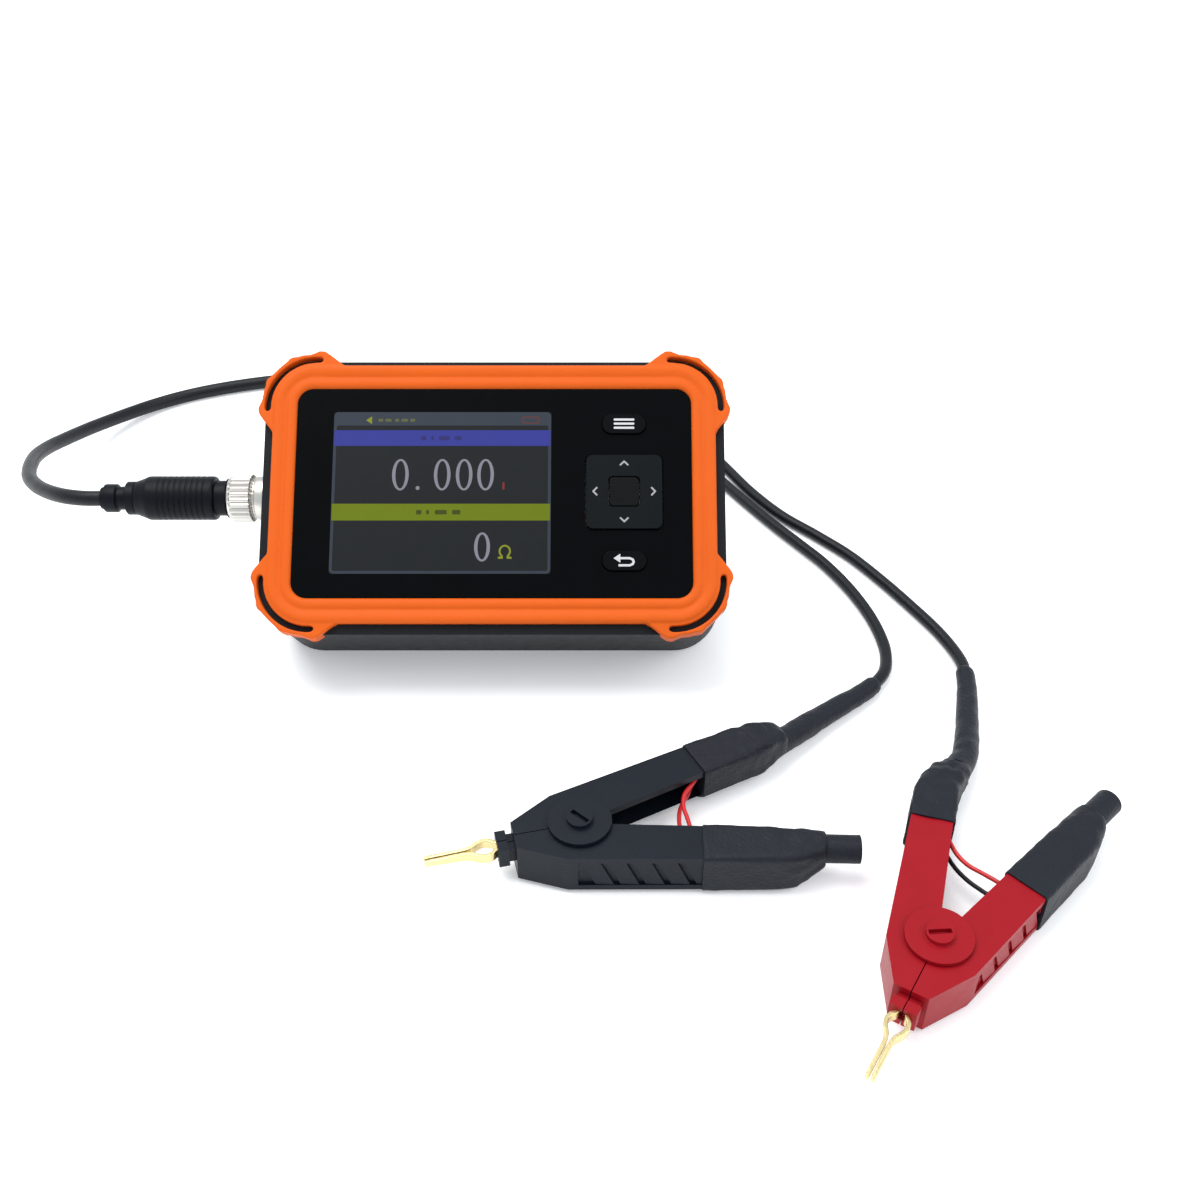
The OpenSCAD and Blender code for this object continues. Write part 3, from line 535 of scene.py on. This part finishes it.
BUMPER_LINE = [(-7.4, 9.0), (-6.2, 9.4), (-2.6, 12.2), (-1.6, 12.85), (-0.4, 12.95), (0.5, 12.55), (1.6, 12.1),
               (3.6, 11.9), (4.6, 11.55), (5.5, 11.5), (6.3, 11.2), (7.0, 10.35), (8.75, 8.75), (10.35, 7.0),
               (11.2, 6.3), (11.5, 5.5), (11.55, 4.6), (11.9, 3.6), (12.1, 1.6), (12.55, 0.5), (12.95, -0.4),
               (12.85, -1.6), (12.2, -2.6), (9.4, -6.2), (9.0, -7.4), (6, 0), (4.2, 4.2), (0, 6)]


def arc(r, a0, a1, steps):
    return [(r * math.cos(math.radians(a0 + (a1 - a0) * i / steps)),
             r * math.sin(math.radians(a0 + (a1 - a0) * i / steps))) for i in range(steps + 1)]


def bumper_corner(sx, sz):
    """Bumper at one corner: a front plate with a slot through it and a skirt round the case."""
    cx, cz = RING_W / 2 - RING_R, RING_H / 2 - RING_R

    def put(line):
        placed = [(sx * (cx + x), sz * (cz + z)) for x, z in line]
        return placed if sx * sz > 0 else placed[::-1]

    slot_end = [(0.7 * math.cos(math.radians(a)) + 10.85 * math.cos(math.radians(-3)),
                 0.7 * math.sin(math.radians(a)) + 10.85 * math.sin(math.radians(-3)))
                for a in (-45, -90, -135)]
    slot_start = [(0.7 * math.cos(math.radians(a)) + 10.85 * math.cos(math.radians(93)),
                   0.7 * math.sin(math.radians(a)) + 10.85 * math.sin(math.radians(93)))
                  for a in (225, 180, 135)]
    slot = arc(11.52, 92, -2, 24) + slot_end + arc(10.15, -2, 92, 24) + slot_start
    front = plate_mesh([put(BUMPER_LINE), put(slot)], FRONT_Y + 0.45, SHELL_Y)
    skirt_line = BUMPER_LINE[1:-4] + [(x, z) for x, z in arc(11.5, -32, 122, 40)]
    skirt = plate_mesh([put(skirt_line)], SHELL_Y - 0.4, FRONT_Y + 5.4)
    return [front, skirt]


parts = [silicone_ring()]
for sx in (-1, 1):
    for sz in (-1, 1):
        parts += bumper_corner(sx, sz)
add_piece("silicone_frame", shade(softened(joined(parts), 0.22, 7), 180), "silicone", "silicone", "meter",
          "bumper_frame")


# ---- Case, panel and display ----

rounded_copy("front_shell", 0.45, "case")
rounded_copy("rear_shell", 0.7, "case", split=True)
rounded_copy("stand_leg", 0.4, "stand")
rounded_copy("case_screws", 0.18, "screw_steel", 2)
SCREEN_X, KEY_X, KEY_RISE = -11.5, 29.0, 15.6
SCREEN_W, SCREEN_H = 48.6, 37.0


def flat(name, outlines, front, material_name, slot_name="screen", body="meter", thick=0.05, edge=0.0):
    """Thin printed or lit layer whose front lies at depth front."""
    return add_piece(name, shade(plate_mesh(outlines, front, front + thick, edge)), material_name, slot_name, body)


def on_screen(fx, fz):
    """Place on the display from shares of its width, from the left, and of its height, from the top."""
    return SCREEN_X + (fx - 0.5) * SCREEN_W, (0.5 - fz) * SCREEN_H


def screen_box(fx0, fz0, fx1, fz1, r=0.1):
    (x0, z1), (x1, z0) = on_screen(fx0, fz0), on_screen(fx1, fz1)
    return rounded_rect(x1 - x0, z1 - z0, r, 4, 1, (x0 + x1) / 2, (z0 + z1) / 2)


LIT = PANEL_Y - 0.03
flat("screen_edge", [rounded_rect(SCREEN_W - 0.1, SCREEN_H - 0.1, 1, 8, 1, SCREEN_X),
                     screen_box(0.014, 0.085, 0.986, 0.982, 0.4)], LIT, "lit_edge")
flat("screen_ground", [screen_box(0.014, 0.085, 0.986, 0.982, 0.4)], LIT, "lit_ground")
flat("screen_upper_bar", [screen_box(0.004, 0.115, 0.996, 0.213)], LIT - 0.02, "lit_blue")
flat("screen_lower_bar", [screen_box(0.004, 0.572, 0.996, 0.675)], LIT - 0.02, "lit_green")


def digit_zero(fx, fz0, fz1, width):
    x, top = on_screen(fx, fz0)
    bottom = on_screen(fx, fz1)[1]
    h = top - bottom
    return [oval(width, h, 40, x, (top + bottom) / 2), oval(width - 1.5, h - 0.9, 40, x, (top + bottom) / 2)]


for i, fx in enumerate((0.312, 0.503, 0.603, 0.701)):
    flat("screen_digit_%d" % i, digit_zero(fx, 0.295, 0.49, 3.7), LIT - 0.02, "lit_digit")
flat("screen_point", [oval(0.9, 0.9, 16, *on_screen(0.392, 0.475))], LIT - 0.02, "lit_digit")
flat("screen_lower_digit", digit_zero(0.69, 0.748, 0.925, 3.5), LIT - 0.02, "lit_digit")
x, z = on_screen(0.783, 0.462)
flat("screen_upper_unit", [rounded_rect(0.5, 1.7, 0.2, 3, 1, x, z)], LIT - 0.02, "lit_red")
x, z = on_screen(0.793, 0.868)
omega = [(x + 1.35 * math.cos(math.radians(a)), z + 0.2 + 1.45 * math.sin(math.radians(a)))
         for a in range(-50, 231, 10)]
omega += [(x - 1.5, z - 1.1), (x - 1.5, z - 1.5), (x - 0.42, z - 1.5), (x - 0.42, z - 0.9)]
omega += [(x + 0.93 * math.cos(math.radians(a)), z + 0.2 + 1.03 * math.sin(math.radians(a)))
          for a in range(230, -51, -10)]
omega += [(x + 0.42, z - 0.9), (x + 0.42, z - 1.5), (x + 1.5, z - 1.5), (x + 1.5, z - 1.1)]
flat("screen_lower_unit", [omega], LIT - 0.02, "lit_yellow")
x, z = on_screen(0.175, 0.052)
flat("screen_sound", [[(x - 1.3, z), (x, z + 0.9), (x, z - 0.9)]], LIT - 0.02, "lit_yellow")
for i, (fx, wide) in enumerate(((0.215, 1.1), (0.25, 1.4), (0.29, 0.9), (0.325, 1.5), (0.362, 1.1))):
    x, z = on_screen(fx, 0.052)
    flat("screen_tick_%d" % i, [rounded_rect(wide, 0.7, 0.2, 3, 1, x, z)], LIT - 0.02, "lit_dim_yellow")
x, z = on_screen(0.905, 0.052)
flat("screen_battery", [rounded_rect(3.8, 1.7, 0.3, 4, 1, x, z), rounded_rect(3.1, 1, 0.15, 4, 1, x, z)],
     LIT - 0.02, "lit_dim_red")
for i, (fx, fz, wide, tone) in enumerate(((0.415, 0.164, 1.2, "blue"), (0.455, 0.164, 0.6, "blue"),
        (0.51, 0.164, 2.4, "blue"), (0.572, 0.164, 1.6, "blue"), (0.4, 0.624, 1.2, "green"),
        (0.44, 0.624, 0.6, "green"), (0.5, 0.624, 2.6, "green"), (0.57, 0.624, 1.8, "green"))):
    x, z = on_screen(fx, fz)
    flat("screen_mark_%d" % i, [rounded_rect(wide, 1, 0.25, 3, 1, x, z)], LIT - 0.04, "dark_" + tone)


# ---- Keys ----

rounded_copy("direction_pad", 0.5, "keys")
rounded_copy("ok_key", 0.45, "ok_key")
rounded_copy("menu_key", 0.4, "panel_key")
rounded_copy("back_key", 0.4, "panel_key")
PAD_FRONT, KEY_FRONT = PANEL_Y - 0.7, PANEL_Y - 0.6
for i, (dx, dz) in enumerate(((0, 1), (-1, 0), (0, -1), (1, 0))):
    tip, half, arm = 7.1, 1.05, 1.0
    line = [(tip, 0), (tip - arm, half), (tip - arm - 0.26, half - 0.25), (tip - 0.5, 0),
            (tip - arm - 0.26, 0.25 - half), (tip - arm, -half)]
    turned = [(KEY_X + u * dx - v * dz, u * dz + v * dx) for u, v in line]
    flat("pad_arrow_%d" % i, [turned], PAD_FRONT - 0.02, "pad_print", "keys", "direction_pad", 0.06)
for i in (-1, 0, 1):
    flat("menu_line_%d" % (i + 1), [rounded_rect(4.6, 0.5, 0.2, 4, 1, KEY_X, KEY_RISE + i * 0.95)],
         KEY_FRONT - 0.02, "print", "keys", "menu_key", 0.06)
back_icon = [(KEY_X + x, -KEY_RISE + z) for x, z in (
    (-2.4, 0.5), (-0.9, 1.5), (-0.9, 0.75), (1.2, 0.75), (2, 0.4), (2.3, -0.3), (2, -1), (1.2, -1.35),
    (-1.3, -1.35), (-1.3, -0.85), (1.05, -0.85), (1.6, -0.65), (1.75, -0.3), (1.6, 0.05), (1.05, 0.25),
    (-0.9, 0.25), (-0.9, -0.5))]
flat("back_arrow", [back_icon], KEY_FRONT - 0.02, "print", "keys", "back_key", 0.06)


# ---- Plug ----

TABLE_Y, TABLE_Z = 18.64, 29.10


def knurled(x, r, a):
    if not -61.5 < x < -56.3:
        return r
    wave = 0.5 + 0.5 * math.cos(24 * a)
    return r - 0.46 * (1 - wave ** 0.6)


nut_profile = [(-62.1, 4.1), (-62.1, 4.65), (-62, 4.82), (-61.9, 4.9), (-61.55, 4.95), (-61.3, 5.35),
               (-61.1, 5.57), (-60.9, 5.6), (-60, 5.6), (-59, 5.6), (-58, 5.6), (-57, 5.6), (-56.7, 5.54),
               (-56.5, 5.35), (-56.4, 4.8), (-56.2, 4.6), (-55.9, 4.6), (-55.7, 5), (-55.5, 5.1), (-53.5, 5.1),
               (-53.3, 5.02), (-53.2, 4.85), (-53.2, 4.1)]
add_piece("knurled_nut", shade(along_x(nut_profile, 240, knurled), 50), "nickel", "nickel", "plug_nut", "plug_nut")
body_profile = [(-57.1, 3.98), (-62.25, 3.98), (-62.3, 4.5), (-62.5, 4.6), (-62.6, 4.1), (-65.1, 4.1),
                (-65.2, 4.55), (-65.3, 4.85), (-65.6, 5.05), (-66, 5.1)]
for k in range(9):
    body_profile += [(-67.2 - k * 1.3, 5.1), (-67.35 - k * 1.3, 4.97), (-67.55 - k * 1.3, 4.97),
                     (-67.7 - k * 1.3, 5.1)]
body_profile += [(-80.4, 5.1), (-80.9, 5.02), (-81.3, 4.8), (-83.4, 4.0), (-83.75, 3.9), (-83.8, 3.6)]
add_piece("plug_shell", shade(along_x(body_profile[::-1])), "overmould", "overmould", "meter", "plug_body")
relief = [(-83.75, 3.2), (-83.8, 3.7), (-84, 3.88), (-85.7, 3.88), (-85.95, 3.6), (-86, 2.75), (-88, 2.7),
          (-88.15, 3.1), (-88.35, 3.28), (-90.7, 3.3), (-91.05, 3.2), (-91.2, 2.65), (-91.9, 2.55), (-92, 2.3),
          (-92, 1.9)]
add_piece("plug_relief", shade(along_x(relief[::-1])), "overmould", "overmould", "meter", "strain_relief")


# ---- Cords and splitter ----

main_cord = make_cord("main_cord", MAIN_ROUTE, 3.6, "cable", "main_cable")
red_cord = make_cord("red_cord", RED_ROUTE, 2.8, "cable", "red_lead")
black_cord = make_cord("black_cord", BLACK_ROUTE, 2.8, "cable", "black_lead")


def splitter():
    """Moulded Y where the main cable parts into two leads: a round end that flattens and widens."""
    start, end = Vector((-9, 116.6, 2.8)), Vector((9.2, 111.7, 2.8))
    along = (end - start).normalized()
    across = Vector((-along.y, along.x, 0))
    stations = ((0, 1.9, 1.9), (0.05, 2.3, 2.3), (0.4, 2.6, 2.55), (1.2, 2.7, 2.65), (1.9, 2.5, 2.45),
                (2.4, 2.52, 2.48), (6, 3.1, 2.55), (11, 3.8, 2.6), (15.6, 4.3, 2.6), (17.6, 4.3, 2.58),
                (18.4, 4.05, 2.4), (18.7, 3.6, 2))
    rings = []
    for s, half, rise in stations:
        centre = start + along * s
        ring = []
        for k in range(40):
            a = math.tau * k / 40
            pinch = 1 - 0.07 * max(0, s - 9) / 9 * max(0, abs(math.sin(a)) - 0.6) / 0.4
            ring.append(centre + across * half * math.cos(a) + Vector((0, 0, rise * math.sin(a) * pinch)))
        rings.append(ring)
    mesh = loft(rings)
    mesh.transform(SCALE)
    return mesh


add_piece("cord_splitter", shade(splitter(), 60), "overmould", "overmould", "meter", "lead_splitter")


# ---- Kelvin clips ----

ARM_ANGLE = math.radians(15)
CLIP_AT = {"black": (19.7, -64.1, 13.4), "red": (84.7, -91.5, 58.6)}
ARM_W, ARM_L = 8.0, 36.5


def clip_matrix(colour, flip=False):
    x, y, turn = CLIP_AT[colour]
    place = SCALE @ Matrix.Translation((x, y, 0)) @ Matrix.Rotation(math.radians(turn), 4, "Z")
    return place @ Matrix.Scale(-1, 4, (0, 1, 0)) if flip else place


ARM_FRAME = Matrix.Rotation(ARM_ANGLE, 4, "Z")


def sleeve_mesh(stations, depth, seed):
    """Shrunk sleeve over an arm: (distance, low side, high side, underside, top, corner) in the arm's frame.

    It follows the bevel of the arm's inner lower edge, and wrinkles more towards its far end.
    """
    rings = []
    dense = []
    for a, b in zip(stations, stations[1:]):
        n = max(1, round((b[0] - a[0]) / 0.6))
        dense += [tuple(p + (q - p) * k / n for p, q in zip(a, b)) for k in range(n)]
    dense.append(stations[-1])
    for s, w0, w1, z0, z1, r in dense:
        line = rounded_rect(w1 - w0, z1 - z0, min(r, (w1 - w0) / 2 - 0.01, (z1 - z0) / 2 - 0.01), 6, 8,
                            (w0 + w1) / 2, (z0 + z1) / 2)
        rings.append([(s, w, max(z, 2.5 - 0.966 * (w - 0.1))) for w, z in line])
    return wrinkled(loft(rings), depth, 2.3, seed, lambda co: 1 + 2.2 * min(1, max(0, (co.x - 37) / 6)))


def sleeve_mouth(s):
    """Sleeve from its open end at s to the end of the arm, whose outer wall tapers to ARM_W there."""
    wall = ARM_W + 1.2 * (ARM_L - s) / (ARM_L + 2)
    return [(s, 0.2, wall - 0.3, 1.2, 9.9, 1), (s, -0.35, wall + 0.42, 0.62, 10.42, 0.8),
            (s + 0.5, -0.38, wall + 0.46, 0.6, 10.47, 0.9), (ARM_L, -0.38, ARM_W + 0.52, 0.6, 10.45, 1.2)]


LEAD_SLEEVE = {
    "black": sleeve_mouth(28.6) + [
        (40.5, -0.36, 8.55, 0.9, 10.45, 1.5), (44, -0.1, 8.2, 1.7, 10.45, 1.7), (47, 0.35, 7.3, 2.4, 10.3, 1.8),
        (49, 0.8, 6.3, 2.9, 9.8, 1.8), (50.3, 1.4, 5.4, 3.2, 8.9, 1.6), (50.75, 2.1, 4.8, 3.6, 7.8, 1.2)],
    "red": sleeve_mouth(28.6) + [
        (38.5, -0.4, 8.2, 0.7, 10.4, 1.7), (41, -0.9, 7.4, 1.1, 10.2, 2.1), (43, -1.6, 6.7, 1.6, 9.8, 2.4),
        (45, -2.3, 6, 2.1, 9.3, 2.6), (46.8, -2.4, 4.9, 2.5, 8.7, 2.5), (48, -1.8, 3.4, 3, 8.2, 1.9),
        (48.5, -1, 2, 3.6, 7.6, 1.2)]}
TAIL_SLEEVE = {
    "black": sleeve_mouth(24) + [
        (40.5, -0.38, 8.3, 0.6, 10.45, 1.5), (42.5, -0.38, 7.9, 0.75, 10.45, 1.7),
        (44.5, -0.35, 7.2, 1.8, 10.4, 2), (46.5, -0.33, 6.3, 3, 10.3, 2.4),
        (47.6, -0.3, 5.8, 3.7, 10.2, 2.6), (47.8, 0, 5.5, 4, 9.9, 2.5)],
    "red": sleeve_mouth(21.6) + [
        (38.5, -0.38, 8.5, 0.65, 10.45, 1.4), (41, -0.38, 8.2, 1.2, 10.45, 1.7), (44, -0.35, 7.3, 2.05, 10.4, 2),
        (46.5, -0.33, 6.4, 2.8, 10.3, 2.3), (47.6, -0.3, 5.8, 3.2, 10.2, 2.5), (47.8, 0, 5.5, 3.5, 9.9, 2.4)]}
LINKS = [[(27.2, 9.6, 7.4), (25.4, 7.4, 7.6), (22.8, 4.8, 7.5), (21.2, 1.8, 7.4), (20.6, -1.4, 7.5),
          (20, -4.6, 7.6), (19.4, -8, 7.4)],
         [(25.6, 9.2, 4.8), (24, 6.8, 4.6), (21.8, 4, 4.4), (20.2, 1, 4.4), (19.2, -2, 4.5),
          (18.4, -4.8, 4.7), (17.6, -7.4, 4.8)]]
LINK_SHIFT = {"black": 1.8, "red": 0.0}
SPRING_REACH, LINK_REACH = 2.6, 7
SLEEVE_ROUTES = {
    "red": [(97.4, -46.3, 5.8), (100.2, -41.5, 5), (101.9, -36, 4), (103.4, -30, 3.3), (104.9, -23, 2.8),
            (106.1, -16.8, 2.5), (106.8, -11.4, 2.4)],
    "black": [(60.2, -38, 5.2), (64.2, -34.6, 4.4), (68.4, -30.7, 3.7), (72.6, -26.9, 3.1), (77, -23.3, 2.8),
              (81.6, -19.6, 2.5), (85.8, -15.8, 2.4)]}


def cord_sleeve_radius(t):
    """Widest over the end of the arm's sleeve, nipped just past it, and closing on the lead at its end."""
    nip = 0.15 * math.exp(-((t - 0.15) / 0.05) ** 2)
    return (2.95 - 0.95 * t - nip) * (1 - 0.2 * max(0, t - 0.96) / 0.04)


def spring_points():
    """Torsion spring round the pivot, from inside one arm to inside the other."""
    radius, turns, pitch = 3.15, 2.25, 0.72
    low = 4.6
    begin = math.pi / 2
    coil = []
    count = 72
    sweep = turns * math.tau + 2 * 0.3
    for i in range(count + 1):
        a = begin + sweep * i / count
        coil.append(Vector((radius * math.cos(a), radius * math.sin(a), low + pitch * turns * i / count)))
    first, last = coil[0], coil[-1]
    lead = [first + Vector((math.cos(ARM_ANGLE + 0.1), math.sin(ARM_ANGLE + 0.1), 0)) * d for d in (13, 9, 5, 2)]
    tail = [last + Vector((math.cos(-ARM_ANGLE - 0.1), math.sin(-ARM_ANGLE - 0.1), 0)) * d for d in (2, 5, 9, 13)]
    return lead + coil + tail


def blended(name, mesh, material_name, slot_name, colour, reach, *replaced):
    """Piece that stays with the meter on the lead arm's side and with the other arm on its side.
    It turns over reach, in millimetres, to each side of the clip's middle."""
    mesh.transform(clip_matrix(colour))
    piece = add_piece(name, shade(mesh, 60), material_name, slot_name, None, *replaced)
    place = clip_matrix(colour)
    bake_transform(piece, "meter", colour + "_arm", place @ Vector((3, reach, 0)), place @ Vector((3, -reach, 0)))
    return piece


for colour in ("black", "red"):
    shell = colour + "_clip"
    for half in ("fixed_arm", "moving_arm"):
        rounded_copy(colour + "_" + half, 0.3, shell)
    for jaw in ("fixed_jaw", "moving_jaw"):
        rounded_copy(colour + "_" + jaw, 0.16, "jaw", 2)
    for pin in ("pivot_screw", "pivot_cap"):
        rounded_copy(colour + "_" + pin, 0.32, shell)
    seed = 3.1 if colour == "red" else 7.7
    lead = sleeve_mesh(LEAD_SLEEVE[colour], 0.2 if colour == "red" else 0.12, seed)
    lead.transform(clip_matrix(colour) @ ARM_FRAME)
    add_piece(colour + "_lead_sleeve", shade(lead, 50), "sleeve", "sleeve", "meter", colour + "_arm_sleeve")
    tail = sleeve_mesh(TAIL_SLEEVE[colour], 0.1, seed + 2.4)
    tail.transform(clip_matrix(colour, True) @ ARM_FRAME)
    tail.flip_normals()
    add_piece(colour + "_tail_sleeve", shade(tail, 50), "sleeve", "sleeve", colour + "_arm",
              colour + "_end_sleeve")
    over = tube_mesh(smooth_route(SLEEVE_ROUTES[colour], 8), cord_sleeve_radius, 28)
    over = wrinkled(over, 0.16, 2.6, seed)
    over.transform(SCALE)
    add_piece(colour + "_cord_sleeve", shade(over, 50), "sleeve", "sleeve", "meter", colour + "_cable_sleeve")
    rounded_copy(colour + "_wire_stub", 0.15, "sleeve", 2)
    spring = tube_mesh(spring_points(), 0.34, 10)
    blended(colour + "_torsion_spring", spring, "spring", "spring", colour, SPRING_REACH, colour + "_spring")
    for i, line in enumerate(LINKS):
        moved = [(x + LINK_SHIFT[colour] * max(0, k - 2) / 4, y, z) for k, (x, y, z) in enumerate(line)]
        wire = tube_mesh(smooth_route(moved, 5), 0.45, 10)
        tone = "cable" if colour == "red" and i == 1 else "link"
        blended("%s_bridge_wire_%d" % (colour, i), wire, tone, "link", colour, LINK_REACH, colour + "_link_wires")

for cad in nodes.values():
    shade(cad.data, 32)
